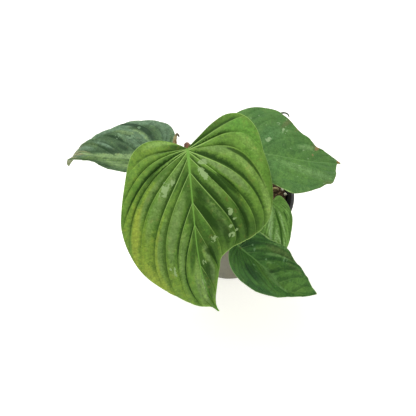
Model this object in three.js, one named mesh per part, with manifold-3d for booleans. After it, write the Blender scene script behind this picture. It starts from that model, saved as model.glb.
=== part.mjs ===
// A young majestic philodendron in a round nursery pot.
// Millimetres, +Z up. The origin is under the middle of the pot, on the surface it stands on,
// and the viewer stands at -Y.
import * as THREE from 'three';
import { mergeVertices } from 'three/addons/utils/BufferGeometryUtils.js';
import Module from 'manifold-3d';

const wasm = await Module();
wasm.setup();

// Driving dimensions
const potHeight = 95;
const rimRadius = 55; // outside of the rim
const footRadius = 39.3;
const potWall = 1.6;
const potFloor = 2.2;
const potEdge = 0.8; // bevel of the rim and the foot
const rimBand = 7; // height of the thicker band under the rim
const rimProud = 1.1;
const potSides = 40;
const drainHoles = 6;
const drainRadius = 4;
const drainReach = 28.3; // from the middle of the floor to the middle of a hole
const soilLevel = 84; // top of the potting mix, before its chips
const lumpHeight = 1.3;
const gap = 0.3; // kept between pieces that touch
const bladeThickness = 1.1;
const keelDepth = 1.3; // how far the midrib stands out below the blade at its base
const keelTaper = 0.8; // share of it that is lost towards the tip
const hookStart = 0.82; // fraction of the length where a tip begins to droop
const crownFullness = 0.6; // low is full and round, 1 is a plain arch
const crownRise = 2.2; // how soon a crown reaches its full height beside the midrib
const crownFade = 0.55; // share of its height that is lost at the margin
const veinBend = 3; // how late a vein bends round to where it lands
const stemRadius = 6.5;
const stemTop = 104;
const stemRings = [72, 81, 90, 97];
const ringProud = 0.6;
const ringSlope = 2.4; // height over which the stem widens to a ring
const petioleRadius = 2.2;
const petioleClasp = 1.4; // added where a petiole clasps the stem
const claspFade = 10;
const petioleHold = 5; // length that runs on under the midrib
const sheathHalfWidth = 2.9;
const sheathHalfDepth = 1.1;
const spearRadius = 2.3;
const rootRadius = 1;
const stalkSides = 8;
const petioleSteps = 17;
const sheathSteps = 17;
const spearSteps = 15;
const rootSteps = 12;

const wallRun = (rimRadius - rimProud - footRadius) / potHeight; // how much the wall leans out
const wallRadius = (z) => footRadius + wallRun * z;
const degrees = THREE.MathUtils.degToRad;

// A list of numbers read at and between its places
function between(list, place) {
  const k = Math.min(list.length - 2, Math.floor(place));
  return THREE.MathUtils.lerp(list[k], list[k + 1], place - k);
}

// How the veins run, as one number for each: the notch behind the petiole, ten veins, the tip.
// A vein leaves the midrib at start, a fraction of it. It sets out towards one place on the margin
// and bends round to meet it at another, both fractions of the half margin from notch to tip. sag
// says how much of its rise it has made halfway.
const veinStart = [0, 0.002, 0.004, 0.006, 0.009, 0.013, 0.042, 0.13, 0.295, 0.415, 0.65, 1];
const usualVeins = {
  heading: [0, 0.12, 0.2, 0.27, 0.35, 0.45, 0.56, 0.66, 0.75, 0.82, 0.9, 1],
  landing: [0, 0.22, 0.34, 0.46, 0.57, 0.66, 0.735, 0.79, 0.84, 0.885, 0.94, 1],
  sag: [0.5, 0.2, 0.1, 0.15, 0.3, 0.45, 0.6, 0.6, 0.55, 0.5, 0.5, 0.5],
};
// The front blade is seen best, so it has its own
const frontVeins = {
  left: {
    heading: [0, 0.2, 0.2, 0.315, 0.45, 0.56, 0.6, 0.645, 0.745, 0.8, 0.9, 1],
    landing: [0, 0.225, 0.36, 0.545, 0.62, 0.65, 0.69, 0.735, 0.785, 0.84, 0.93, 1],
    sag: [0.5, 0.5, 0.15, -0.05, 0.6, 0.53, 0.6, 0.7, 0.6, 0.7, 0.5, 0.5],
  },
  right: {
    heading: [0, 0.2, 0.29, 0.35, 0.39, 0.445, 0.555, 0.665, 0.755, 0.8, 0.91, 1],
    landing: [0, 0.3, 0.4, 0.49, 0.57, 0.67, 0.765, 0.81, 0.87, 0.93, 0.965, 1],
    sag: [0.5, 0, 0.1, 0.35, 0.4, 0.65, 0.7, 0.45, 0.4, 0.5, 0.5, 0.5],
  },
};
const lastVein = veinStart.length - 1;
// Mesh rows in the field between one vein and the next
const rowsInField = [4, 4, 4, 4, 4, 3, 3, 3, 3, 3, 4];

// One entry for each leaf. base is where the petiole meets the blade, yaw, pitch and roll turn it,
// and the rest is in the blade's own plane: x to its right, y towards the tip.
const leaves = {
  front: {
    base: [-35.7, -24.3, 170], yaw: -76.9, pitch: 43.7, roll: -2,
    length: 116, arch: 14, pleat: 1.9, across: 7, veins: frontVeins,
    fold: { left: 9, right: 9 }, curl: { left: 0.0035, right: 0.0035 },
    midrib: [[0, 0], [1.9, 18], [4.2, 42], [6, 68], [5.4, 90], [3, 104], [0, 115], [-3, 122.5]],
    left: [[-3.2, -2.8], [-11, -8.4], [-20.5, -15], [-33, -20.3], [-45, -18], [-52, -7], [-53, 10], [-54, 28],
      [-52, 46], [-46, 59], [-33, 67.5], [-19, 71.5], [-9.5, 78], [-7, 86], [-4, 98], [-1.6, 111], [-2, 118],
      [-3.6, 122.4]],
    right: [[3.6, -2.5], [10, -5.8], [19, -8.7], [29, -8.5], [38, -3], [43, 6], [48, 21], [52, 35], [54, 48],
      [51.5, 64], [45, 80], [36, 91], [26, 101], [17, 109], [9, 114.5], [3.5, 116], [0.4, 118.5],
      [-2.4, 122.6]],
    petiole: [[-1, 3, 97], [-9, 3, 112], [-22, -3, 133], [-32.5, -11, 153], [-36, -16.8, 165.5],
      [-36.3, -20.5, 169]],
  },
  left: {
    base: [-59.5, -13.3, 147], yaw: 168.4, pitch: 6.3, roll: -8,
    length: 73, arch: 4, hook: 4.8, pleat: 1.1, across: 5,
    fold: { left: 20, right: 15 }, curl: { left: 0.001, right: 0.0015 },
    midrib: [[0, 0], [-3, 12], [-4.5, 30], [-3.5, 50], [-0.2, 60], [1.3, 68], [-4, 77]],
    left: [[-3.5, -2.8], [-9, -6], [-18, -4], [-28, 8], [-31.5, 17], [-29, 27], [-22, 39], [-17, 48],
      [-17, 56], [-16.5, 64], [-12, 70.2], [-8.5, 74.5], [-4.4, 77]],
    right: [[3.6, -3.2], [10, -7], [20, -7.5], [29, -6], [36, 0], [37, 8], [36, 20], [33, 31], [27, 40],
      [22.5, 49], [15, 60], [11, 68.5], [9.2, 73], [4.8, 76.6], [-3.6, 77.2]],
    petiole: [[-3, -2, 91], [-10, -5, 99], [-20, -6, 112], [-34, -8.5, 131], [-49, -11.5, 143.5]],
  },
  right: {
    base: [5.3, -9.8, 152], yaw: 5.1, pitch: 13.9, roll: -6,
    length: 83.5, arch: 4, pleat: 0.6, across: 5,
    fold: { left: 12, right: 10 }, curl: { left: 0.002, right: 0.003 },
    midrib: [[0, 0], [1.5, 18], [4, 36], [5, 52], [3.5, 66], [1, 79], [0, 83.5]],
    left: [[-2.6, -4], [-8, -9], [-16, -14], [-28, -11], [-38, 0], [-41.5, 13], [-40.5, 30], [-33, 38],
      [-22, 47.5], [-14, 57], [-9, 62.5], [-5, 73], [-1.5, 79.5], [-0.4, 83.5]],
    right: [[3.5, -2.8], [9, -5.5], [16, -4], [22, 4], [28, 13], [34.5, 23], [38, 31], [36.5, 42], [32, 53],
      [27, 61], [25, 67], [17, 72.5], [5, 77.5], [1.7, 80], [0.4, 83.5]],
    petiole: [[2, -1, 96], [3, -2, 107], [-1, -4, 123], [-7, -6.5, 139], [-3.5, -9, 148.5]],
  },
  low_front: {
    base: [0.1, -64.6, 108.5], yaw: -21.9, pitch: 25.4, roll: 8.5,
    length: 77.1, arch: -5.2, rise: 0.65, pleat: 0.7, across: 5,
    fold: { left: 33, right: 22 }, curl: { left: 0.002, right: 0.002 },
    midrib: [[0, 0], [0, 10.7], [-0.1, 20.4], [1.2, 30.3], [5.1, 39.2], [8.3, 46.8], [8.7, 54.2], [6.2, 64.2],
      [2.3, 73.2], [-0.2, 77.1]],
    left: [[-2.8, -4], [-7.2, -8.8], [-13, -9.3], [-16.6, -0.9], [-17.2, 11.2], [-17.6, 23.5], [-18.5, 32.4],
      [-16.4, 39.8], [-11.2, 48.2], [-7.6, 58.5], [-3.3, 67.9], [-1.4, 72.5], [-0.6, 76.8]],
    right: [[3.1, -2.4], [8.1, -4.9], [17.8, -5.8], [26.3, -3.4], [32.3, 2.2], [34.6, 12], [32.3, 26.7],
      [25.1, 41.4], [15.2, 55.2], [6.9, 68.5], [2.8, 73.9], [0.2, 77]],
    petiole: [[-1, -3, 89], [-2.5, -11, 93.5], [-4, -26, 100.5], [-2.5, -43, 105.5], [-0.8, -56, 106]],
  },
  low_right: {
    base: [31, -24.1, 108.5], yaw: -89.8, pitch: 31, roll: 0,
    length: 52.2, arch: 4, pleat: 0.9, across: 4,
    fold: { left: 10, right: 10 }, curl: { left: 0.003, right: 0.003 },
    midrib: [[0, 0], [0.2, 10.7], [1, 21.3], [1.4, 31.8], [0.8, 43.1], [0.5, 52.2]],
    left: [[-1.9, -2.4], [-4.7, -5.3], [-8.3, -4.8], [-12.6, 1.2], [-15.5, 9.8], [-15.8, 17.2], [-14.4, 25.6],
      [-12.5, 34], [-8.7, 42.2], [-3.8, 48.2], [0.1, 52.2]],
    right: [[1.4, -2.4], [3.6, -5.3], [6.8, -5.3], [9.8, 1.2], [11.7, 9.8], [12, 18.3], [10.9, 28.8],
      [8, 39.1], [4, 47.7], [0.9, 52.2]],
    petiole: [[3, -2, 87], [10, -6, 97], [18, -11, 105], [26, -18, 108]],
  },
};

// Curves in a blade's plane, read by arc length
function planeCurve(points) {
  const curve = new THREE.SplineCurve(points.map(([x, y]) => new THREE.Vector2(x, y)));
  curve.arcLengthDivisions = 400;
  return curve;
}

// Height of the blade above its plane: the arch along the midrib, a drooping tip, the fold between
// its halves, and the outward curl of each half
function bladeHeight(leaf, side, p, midribX) {
  const u = p.y / leaf.length;
  const x = Math.abs(p.x - midribX);
  const droop = (leaf.hook ?? 0) * (Math.max(0, u - hookStart) / (1 - hookStart)) ** 2;
  const fold = Math.tan(degrees(leaf.fold[side])) * x - leaf.curl[side] * x * x;
  return 4 * leaf.arch * u * (1 - u) - droop + fold;
}

// The quilted field between two veins: a sharp valley at each vein and a full crown between them
function quilt(leaf, field, r) {
  const x = field - Math.floor(field);
  const crown = Math.max(0, 4 * x * (1 - x)) ** crownFullness;
  return leaf.pleat * crown * Math.min(1, crownRise * r) * (1 - crownFade * r ** 3);
}

// A closed blade in its own plane. grow thickens it on both faces, to cut its neighbours with.
function bladeGeometry(leaf, grow = 0) {
  const curves = {
    midrib: planeCurve(leaf.midrib),
    left: planeCurve(leaf.left),
    right: planeCurve(leaf.right),
  };
  const midribSamples = curves.midrib.getSpacedPoints(60);
  const midribAt = (y) => {
    const k = midribSamples.findIndex((p) => p.y >= y);
    if (k <= 0) return k === 0 ? 0 : midribSamples.at(-1).x;
    const [a, b] = [midribSamples[k - 1], midribSamples[k]];
    return a.x + ((b.x - a.x) * (y - a.y)) / (b.y - a.y);
  };
  const fields = [];
  rowsInField.forEach((count, field) => {
    for (let i = 0; i < count; i++) fields.push(field + i / count);
  });
  fields.push(lastVein);

  const surface = (side, field, r) => {
    const veins = leaf.veins?.[side] ?? usualVeins;
    const heading = between(veins.heading, field);
    const landing = between(veins.landing, field);
    const place = THREE.MathUtils.lerp(heading, landing, r ** veinBend);
    const start = curves.midrib.getPointAt(between(veinStart, field) ** (leaf.rise ?? 1));
    const end = curves[side].getPointAt(place);
    const sag = between(veins.sag, field);
    const middle = new THREE.Vector2((start.x + end.x) / 2, start.y + (end.y - start.y) * sag);
    const p = new THREE.QuadraticBezierCurve(start, middle, end).getPoint(r);
    const z = bladeHeight(leaf, side, p, midribAt(p.y)) + quilt(leaf, field, r);
    return new THREE.Vector3(p.x, p.y, z);
  };

  const positions = [];
  const columns = 2 * leaf.across + 1;
  const rows = fields.length;
  for (const face of [1, -1]) {
    for (const field of fields) {
      for (let j = -leaf.across; j <= leaf.across; j++) {
        const p = surface(j < 0 ? 'left' : 'right', field, Math.abs(j) / leaf.across);
        const keel = j === 0 ? keelDepth * (1 - (keelTaper * field) / lastVein) : 0;
        p.z += face > 0 ? grow : -bladeThickness - keel - grow;
        positions.push(p.x, p.y, p.z);
      }
    }
  }

  const index = [];
  const under = rows * columns;
  const quad = (a, b, c, d) => index.push(a, b, c, a, c, d);
  const at = (i, j) => i * columns + j;
  for (let i = 0; i < rows - 1; i++) {
    for (let j = 0; j < columns - 1; j++) {
      quad(at(i, j), at(i, j + 1), at(i + 1, j + 1), at(i + 1, j));
      index.push(under + at(i, j), under + at(i + 1, j + 1), under + at(i, j + 1));
      index.push(under + at(i, j), under + at(i + 1, j), under + at(i + 1, j + 1));
    }
    const right = columns - 1;
    quad(at(i, right), under + at(i, right), under + at(i + 1, right), at(i + 1, right));
    quad(at(i + 1, 0), under + at(i + 1, 0), under + at(i, 0), at(i, 0));
  }
  for (let j = 0; j < columns - 1; j++) {
    quad(at(0, j), under + at(0, j), under + at(0, j + 1), at(0, j + 1));
    quad(at(rows - 1, j + 1), under + at(rows - 1, j + 1), under + at(rows - 1, j), at(rows - 1, j));
  }
  const geometry = new THREE.BufferGeometry();
  geometry.setAttribute('position', new THREE.Float32BufferAttribute(positions, 3));
  geometry.setIndex(index);
  return geometry;
}

// Turns a blade's plane to where it grows: roll about the midrib, then pitch down, then yaw
function setBlade(object, leaf) {
  object.position.set(...leaf.base);
  object.rotation.set(-degrees(leaf.pitch), -degrees(leaf.roll), degrees(leaf.yaw - 90), 'ZXY');
  object.updateMatrix();
  return object;
}

// A closed stalk along a curve. radius gives its width and depth at each fraction of its length.
function stalkGeometry(points, radius, steps) {
  const curve = new THREE.CatmullRomCurve3(points.map((p) => new THREE.Vector3(...p)));
  const frames = curve.computeFrenetFrames(steps, false);
  const positions = [];
  const index = [];
  for (let i = 0; i <= steps; i++) {
    const centre = curve.getPointAt(i / steps);
    const [wide, deep] = radius(i / steps);
    for (let j = 0; j < stalkSides; j++) {
      const turn = (2 * Math.PI * j) / stalkSides;
      const p = centre.clone();
      p.addScaledVector(frames.normals[i], wide * Math.cos(turn));
      p.addScaledVector(frames.binormals[i], deep * Math.sin(turn));
      positions.push(...p);
    }
  }
  const at = (i, j) => i * stalkSides + (j % stalkSides);
  for (let i = 0; i < steps; i++) {
    for (let j = 0; j < stalkSides; j++) {
      index.push(at(i, j), at(i, j + 1), at(i + 1, j + 1), at(i, j), at(i + 1, j + 1), at(i + 1, j));
    }
  }
  for (let j = 1; j < stalkSides - 1; j++) {
    index.push(at(0, 0), at(0, j + 1), at(0, j));
    index.push(at(steps, 0), at(steps, j), at(steps, j + 1));
  }
  const geometry = new THREE.BufferGeometry();
  geometry.setAttribute('position', new THREE.Float32BufferAttribute(positions, 3));
  geometry.setIndex(index);
  return geometry;
}

// Solids for joining and cutting
function solid(geometry, matrix = new THREE.Matrix4()) {
  const bare = geometry.clone().applyMatrix4(matrix);
  for (const name of ['normal', 'uv']) bare.deleteAttribute(name);
  const merged = mergeVertices(bare, 1e-4);
  return new wasm.Manifold(new wasm.Mesh({
    numProp: 3,
    vertProperties: new Float32Array(merged.attributes.position.array),
    triVerts: new Uint32Array(merged.index.array),
  }));
}

function geometryOf(body) {
  const { vertProperties, triVerts } = body.getMesh();
  const geometry = new THREE.BufferGeometry();
  geometry.setAttribute('position', new THREE.Float32BufferAttribute(vertProperties, 3));
  geometry.setIndex([...triVerts]);
  return geometry;
}

function turned(profile, sides) {
  const geometry = new THREE.LatheGeometry(profile.map(([r, z]) => new THREE.Vector2(r, z)), sides);
  return geometry.rotateX(Math.PI / 2);
}

// The same draw of numbers every time
function seeded(seed) {
  const states = 2 ** 32;
  let state = seed;
  return () => {
    state = (state * 1664525 + 1013904223) % states;
    return state / states;
  };
}

const model = new THREE.Group();
model.name = 'potted_philodendron';

function add(name, geometry, color, roughness) {
  geometry.computeVertexNormals();
  const material = new THREE.MeshStandardMaterial({ color, roughness, metalness: 0 });
  const mesh = new THREE.Mesh(geometry, material);
  mesh.name = name;
  model.add(mesh);
  return mesh;
}

// Pot: a thin tapered wall with a thicker band under the rim, a flat floor and drain holes
function pot() {
  const bandLow = potHeight - rimBand;
  let body = solid(turned([
    [0, 0], [footRadius - potEdge, 0], [footRadius, potEdge],
    [wallRadius(bandLow), bandLow], [wallRadius(bandLow) + rimProud, bandLow + potEdge],
    [rimRadius, potHeight - potEdge], [rimRadius - potEdge, potHeight],
    [rimRadius - rimProud - potWall, potHeight], [wallRadius(potFloor) - potWall, potFloor], [0, potFloor],
  ], potSides));
  const drain = new THREE.CylinderGeometry(drainRadius, drainRadius, 4 * potFloor, 12).rotateX(Math.PI / 2);
  for (let i = 0; i < drainHoles; i++) {
    const turn = (2 * Math.PI * (i + 0.5)) / drainHoles;
    const place = new THREE.Matrix4();
    place.makeTranslation(drainReach * Math.cos(turn), drainReach * Math.sin(turn), 0);
    body = body.subtract(solid(drain, place));
  }
  return geometryOf(body);
}

// Stem: short and upright, with the rings that old leaves leave behind
function stemProfile(grow) {
  const profile = [[0, stemRings[0] - 4 - grow]];
  for (const z of stemRings) {
    profile.push([stemRadius - ringProud + grow, z - ringSlope], [stemRadius + grow, z]);
  }
  return [...profile, [stemRadius - 2 + grow, stemTop - 2], [0, stemTop + grow]];
}
const stemSolid = solid(turned(stemProfile(0), 16));
const stemCut = solid(turned(stemProfile(gap), 16));

// Stalks all grow from the stem and keep clear of it, and each one keeps clear of those before it
const stalkCuts = [stemCut];
function stalk(path, width, steps) {
  const body = wasm.Manifold.difference([solid(stalkGeometry(path, width(0), steps)), ...stalkCuts]);
  stalkCuts.push(solid(stalkGeometry(path, width(gap), steps)));
  return body;
}

// Petioles: wide where they clasp the stem, slim above, and ending under the midrib
const petioleWidth = (grow) => (t) => {
  const clasp = petioleClasp * Math.exp(-t * claspFade);
  return [petioleRadius + clasp + grow, petioleRadius + clasp * 0.5 + grow];
};
const bladeMatrix = (leaf) => setBlade(new THREE.Object3D(), leaf).matrix;
function petiole(leaf) {
  const under = -bladeThickness - petioleRadius;
  const underBlade = [0, petioleHold].map((y) => {
    return new THREE.Vector3(0, y, under).applyMatrix4(bladeMatrix(leaf)).toArray();
  });
  const body = stalk([...leaf.petiole, ...underBlade], petioleWidth, petioleSteps);
  return body.subtract(solid(bladeGeometry(leaf, gap + 0.1), bladeMatrix(leaf)));
}

// Dry sheath left by an older leaf, and the rolled young leaf behind the right-hand blade
const sheathPath = [[-5, 2.5, 87], [-14, 5, 98], [-28, 5, 116], [-40, 0, 135], [-46.3, -4.9, 150.7],
  [-47.3, -5.9, 157.2], [-46.3, -6.3, 163.2], [-44.3, -6.9, 167.7], [-42.9, -7.9, 167.9],
  [-42.3, -8.3, 165.7]];
const sheathWidth = (grow) => (t) => [
  sheathHalfWidth * (1 - 0.85 * t ** 8) + grow,
  sheathHalfDepth * (1 - 0.45 * t) + grow,
];
const spearPath = [[2, 4, 93], [7, 10, 103], [18, 23, 121], [31, 33, 138], [38.5, 38.5, 147.5],
  [43, 39.5, 148.8], [46.5, 38.5, 147.3], [47, 38, 145.5]];
const spearWidth = (grow) => (t) => {
  const radius = spearRadius * (1 - 0.78 * t ** 1.4) + grow;
  return [radius, radius];
};

// A pale root that arches out of the mix near the rim
const rootPath = [[21, 4, 78], [28, 5.5, 85.5], [37, 7.3, 87.8], [42.5, 8.8, 86.5], [43.5, 9, 80]];
const rootWidth = (grow) => () => [rootRadius + grow, rootRadius + grow];

// Potting mix: fills the pot, with bark chips and perlite grains sunk into its rough top
function pottingMix() {
  const random = seeded(41);
  const low = potFloor + gap;
  const reach = (z) => wallRadius(z) - potWall - gap - 0.2;
  const turns = 24;
  const circles = 6;
  const profile = [[0, low], [reach(low), low], [reach(soilLevel), soilLevel - 1.5]];
  for (let i = 1; i <= circles; i++) {
    profile.push([reach(soilLevel) * (1 - i / (circles + 0.6)), soilLevel]);
  }
  const top = turned([...profile, [0, soilLevel]], turns);
  const spots = top.attributes.position;
  for (let i = 0; i < spots.count; i++) {
    const [x, y, z] = [spots.getX(i), spots.getY(i), spots.getZ(i)];
    const lumps = Math.sin(x * 0.31 + 1) * Math.cos(y * 0.27) + 0.6 * Math.sin(x * 0.7 - y * 0.55);
    if (z > soilLevel - 1) spots.setZ(i, z + lumpHeight * lumps);
  }
  let body = solid(top);
  const chips = [];
  const bark = new THREE.BoxGeometry(1, 1, 1);
  const grain = new THREE.IcosahedronGeometry(1, 0);
  const mostChips = 56;
  const perliteShare = 0.22;
  for (let i = 0; i < mostChips; i++) {
    const turn = random() * 2 * Math.PI;
    const far = Math.sqrt(random()) * (reach(soilLevel) - 6);
    const isPerlite = random() < perliteShare;
    const size = isPerlite ? [1.5, 1.3, 1.2] : [5 + 6 * random(), 3 + 3 * random(), 2 + 1.6 * random()];
    const matrix = new THREE.Matrix4().compose(
      new THREE.Vector3(far * Math.cos(turn), far * Math.sin(turn), soilLevel + 0.3 + random()),
      new THREE.Quaternion().setFromEuler(new THREE.Euler(random() - 0.5, random() - 0.5, random() * 6)),
      new THREE.Vector3(...size),
    );
    chips.push(solid(isPerlite ? grain : bark, matrix));
  }
  body = wasm.Manifold.union([body, ...chips]);
  body = body.subtract(stemCut);
  body = body.subtract(solid(stalkGeometry(sheathPath, sheathWidth(gap), sheathSteps)));
  body = body.subtract(solid(stalkGeometry(rootPath, rootWidth(gap), rootSteps)));
  const pieces = body.decompose();
  return pieces.sort((a, b) => b.volume() - a.volume())[0];
}

add('pot', pot(), 0x77716d, 0.55);
add('potting_mix', geometryOf(pottingMix()), 0x4a3326, 0.95);
add('stem', geometryOf(stemSolid), 0x6b5a38, 0.7);
for (const [name, leaf] of Object.entries(leaves)) {
  add(`petiole_${name}`, geometryOf(petiole(leaf)), 0x7c4a38, 0.6);
  setBlade(add(`blade_${name}`, bladeGeometry(leaf), 0x4f8a35, 0.5), leaf);
}
add('dry_sheath', geometryOf(stalk(sheathPath, sheathWidth, sheathSteps)), 0xa98a62, 0.8);
add('rolled_leaf', geometryOf(stalk(spearPath, spearWidth, spearSteps)), 0x6f8a4a, 0.5);
add('surface_root', stalkGeometry(rootPath, rootWidth(0), rootSteps), 0xc9b08c, 0.7);

export default model;
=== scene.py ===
import math
import random

import bpy
import numpy as np
from mathutils import Matrix, Vector, noise


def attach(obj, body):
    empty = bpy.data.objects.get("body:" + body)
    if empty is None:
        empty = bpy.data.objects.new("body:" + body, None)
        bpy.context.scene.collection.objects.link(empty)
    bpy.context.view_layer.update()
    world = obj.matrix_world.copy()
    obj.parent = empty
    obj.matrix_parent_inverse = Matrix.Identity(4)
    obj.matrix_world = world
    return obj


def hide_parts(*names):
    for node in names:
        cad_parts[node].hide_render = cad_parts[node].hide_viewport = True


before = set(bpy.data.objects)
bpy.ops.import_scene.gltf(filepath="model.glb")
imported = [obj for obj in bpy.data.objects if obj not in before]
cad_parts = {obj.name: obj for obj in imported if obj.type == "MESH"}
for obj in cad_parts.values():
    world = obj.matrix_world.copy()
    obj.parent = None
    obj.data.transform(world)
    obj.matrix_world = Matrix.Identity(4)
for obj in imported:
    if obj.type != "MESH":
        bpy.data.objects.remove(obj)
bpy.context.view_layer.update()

mm = 0.001
print("frame loaded")


def hexColor(text):
    parts = [int(text[i:i + 2], 16) / 255 for i in (1, 3, 5)]
    return tuple(((c + 0.055) / 1.055) ** 2.4 if c > 0.04045 else c / 12.92 for c in parts) + (1.0,)


def link(tree, socket, value):
    if isinstance(value, bpy.types.NodeSocket):
        tree.links.new(value, socket)
    else:
        socket.default_value = value


def put(tree, kind, inputs=None, **settings):
    made = tree.nodes.new(kind)
    for name, value in settings.items():
        setattr(made, name, value)
    for name, value in (inputs or {}).items():
        link(tree, made.inputs[name], value)
    return made


def flow(tree, kind, inputs=None, **settings):
    return put(tree, kind, inputs, **settings).outputs[0]


def calc(tree, operation, *values):
    return flow(tree, "ShaderNodeMath", dict(enumerate(values)), operation=operation)


def times(tree, value, *others):
    for other in others:
        value = calc(tree, "MULTIPLY", value, other)
    return value


def plus(tree, value, *others):
    for other in others:
        value = calc(tree, "ADD", value, other)
    return value


def step(tree, value, low, high, toLow=0.0, toHigh=1.0):
    ends = {"Value": value, "From Min": low, "From Max": high, "To Min": toLow, "To Max": toHigh}
    return flow(tree, "ShaderNodeMapRange", ends, interpolation_type="SMOOTHSTEP")


def paint(tree, color, *coats):
    # each coat has a factor and a colour, which is a socket or a text such as "#a0b0c0"
    for factor, above in coats:
        below, above = (hexColor(c) if isinstance(c, str) else c for c in (color, above))
        color = put(tree, "ShaderNodeMix", {0: factor, 6: below, 7: above}, data_type="RGBA").outputs[2]
    return color


def combine(tree, x, y, z):
    return flow(tree, "ShaderNodeCombineXYZ", {"X": x, "Y": y, "Z": z})


def speckle(tree, where, scale, detail=3.0, roughness=0.55, stretch=None):
    if stretch:
        where = flow(tree, "ShaderNodeMapping", {"Vector": where, "Scale": stretch})
    given = {"Vector": where, "Scale": scale, "Detail": detail, "Roughness": roughness}
    return put(tree, "ShaderNodeTexNoise", given).outputs["Fac"]


def readAttribute(tree, name, output="Fac"):
    return put(tree, "ShaderNodeAttribute", attribute_name=name).outputs[output]


def startFinish(name, roughness, specular):
    material = bpy.data.materials.new(name)
    material.use_nodes = True
    tree = material.node_tree
    bsdf = next(n for n in tree.nodes if n.type == "BSDF_PRINCIPLED")
    bsdf.inputs["Roughness"].default_value = roughness
    bsdf.inputs["Specular IOR Level"].default_value = specular
    return material, tree, bsdf


def onObject(tree):
    return put(tree, "ShaderNodeTexCoord").outputs["Object"]


def endFinish(tree, bsdf, color, relief, strength, distance):
    link(tree, bsdf.inputs["Base Color"], color)
    bump = flow(tree, "ShaderNodeBump", {"Height": relief, "Strength": strength, "Distance": distance})
    link(tree, bsdf.inputs["Normal"], bump)


def placeObject(name, data):
    made = bpy.data.objects.new(name, data)
    bpy.context.scene.collection.objects.link(made)
    return made


def buildMesh(name, points, faces, material, attributes=None):
    # the points are in millimetres
    mesh = bpy.data.meshes.new(name)
    mesh.from_pydata([tuple(c * mm for c in p) for p in points], [], faces)
    mesh.validate()
    for label, values in (attributes or {}).items():
        values = np.asarray(values, np.float32)
        kind, field = ("FLOAT_VECTOR", "vector") if values.ndim == 2 else ("FLOAT", "value")
        mesh.attributes.new(label, kind, "POINT").data.foreach_set(field, values.ravel())
    mesh.materials.append(material)
    mesh.polygons.foreach_set("use_smooth", [True] * len(mesh.polygons))
    return placeObject(name, mesh)


def circlePoints(radius, z, sides):
    # radius is a number, or a function of the turn
    for j in range(sides):
        turn = 2 * math.pi * j / sides
        r = radius(turn) if callable(radius) else radius
        yield r * math.cos(turn), r * math.sin(turn), z


def turnedFaces(rings, sides):
    # for a middle point above, rings of points, and a middle point below
    ring = lambda i, j: 1 + (i - 1) * sides + j % sides
    faces = []
    for j in range(sides):
        faces.append((0, ring(1, j), ring(1, j + 1)))
        for i in range(1, rings):
            faces.append((ring(i, j), ring(i + 1, j), ring(i + 1, j + 1), ring(i, j + 1)))
        faces.append((ring(rings, j), 1 + rings * sides, ring(rings, j + 1)))
    return faces


def finishPiece(piece, node, slot):
    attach(piece, "root")
    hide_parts(node)
    print("  piece", piece.name, len(piece.data.polygons), "faces")


def readPath(dense, fractions):
    # places on a line of many points, at fractions of its length
    length = np.r_[0, np.cumsum(np.linalg.norm(np.diff(dense, axis=0), axis=1))]
    length /= length[-1]
    return np.stack([np.interp(fractions, length, dense[:, k]) for k in range(dense.shape[1])], -1)


def smoothPath(points):
    # a smooth line of many points through a few
    p = np.array(points, float)
    p = np.vstack([p[:1], p, p[-1:]])
    t = np.linspace(0, 1, 24, endpoint=False)[:, None]  # 24 steps from each point to the next
    parts = []
    for i in range(1, len(p) - 2):
        a, b, c, d = p[i - 1:i + 3]
        parts.append(0.5 * (2 * b + (c - a) * t + (2 * a - 5 * b + 4 * c - d) * t ** 2
                            + (3 * b - a - 3 * c + d) * t ** 3))
    return np.vstack(parts + [p[-1:]])


stage = {
    "eyeMm": (-21.3, -226.4, 368.9), "downTilt": 37.0,  # degrees from straight down
    "focalPx": 400.0, "framePx": 416.0, "sensor": 36.0, "nearClip": 0.01,
    "floorColor": "#f7f5f0", "floorGlow": 0.6, "floorReachMm": 6000, "skyStrength": 0.55,
    "aim": (0, 0, 0.1),
    # place, power, size
    "lights": {"keyLight": ((-0.25, 0.45, 0.95), 5.5, 0.55), "fillLight": ((0.3, -0.9, 0.6), 1.6, 0.8)},
}


def setStage():
    scene = bpy.context.scene
    cameraData = bpy.data.cameras.new("photoCamera")
    cameraData.sensor_width = stage["sensor"]
    cameraData.lens = stage["sensor"] * stage["focalPx"] / stage["framePx"]
    cameraData.clip_start = stage["nearClip"]
    scene.camera = placeObject("photoCamera", cameraData)
    scene.camera.location = Vector(stage["eyeMm"]) * mm
    scene.camera.rotation_euler = (math.radians(stage["downTilt"]), 0, 0)
    scene.view_settings.view_transform = "Standard"

    scene.world = bpy.data.worlds.new("studio")
    scene.world.use_nodes = True
    background = next(n for n in scene.world.node_tree.nodes if n.type == "BACKGROUND")
    background.inputs["Color"].default_value = (1, 1, 1, 1)
    background.inputs["Strength"].default_value = stage["skyStrength"]

    for name, (place, power, size) in stage["lights"].items():
        softbox = bpy.data.lights.new(name, "AREA")
        softbox.shape = "DISK"
        softbox.size = size
        softbox.energy = power
        lamp = placeObject(name, softbox)
        lamp.location = place
        lamp.rotation_euler = (Vector(stage["aim"]) - Vector(place)).to_track_quat("-Z", "Y").to_euler()

    finish, tree, bsdf = startFinish("paleFloor", 0.9, 0.1)
    for socket in ("Base Color", "Emission Color"):
        bsdf.inputs[socket].default_value = hexColor(stage["floorColor"])
    bsdf.inputs["Emission Strength"].default_value = stage["floorGlow"]
    far = stage["floorReachMm"]
    corners = [(-far, -far, 0), (far, -far, 0), (far, far, 0), (-far, far, 0)]
    floor = buildMesh("floor", corners, [(0, 1, 2, 3)], finish)


setStage()
print("stage ready")


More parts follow.
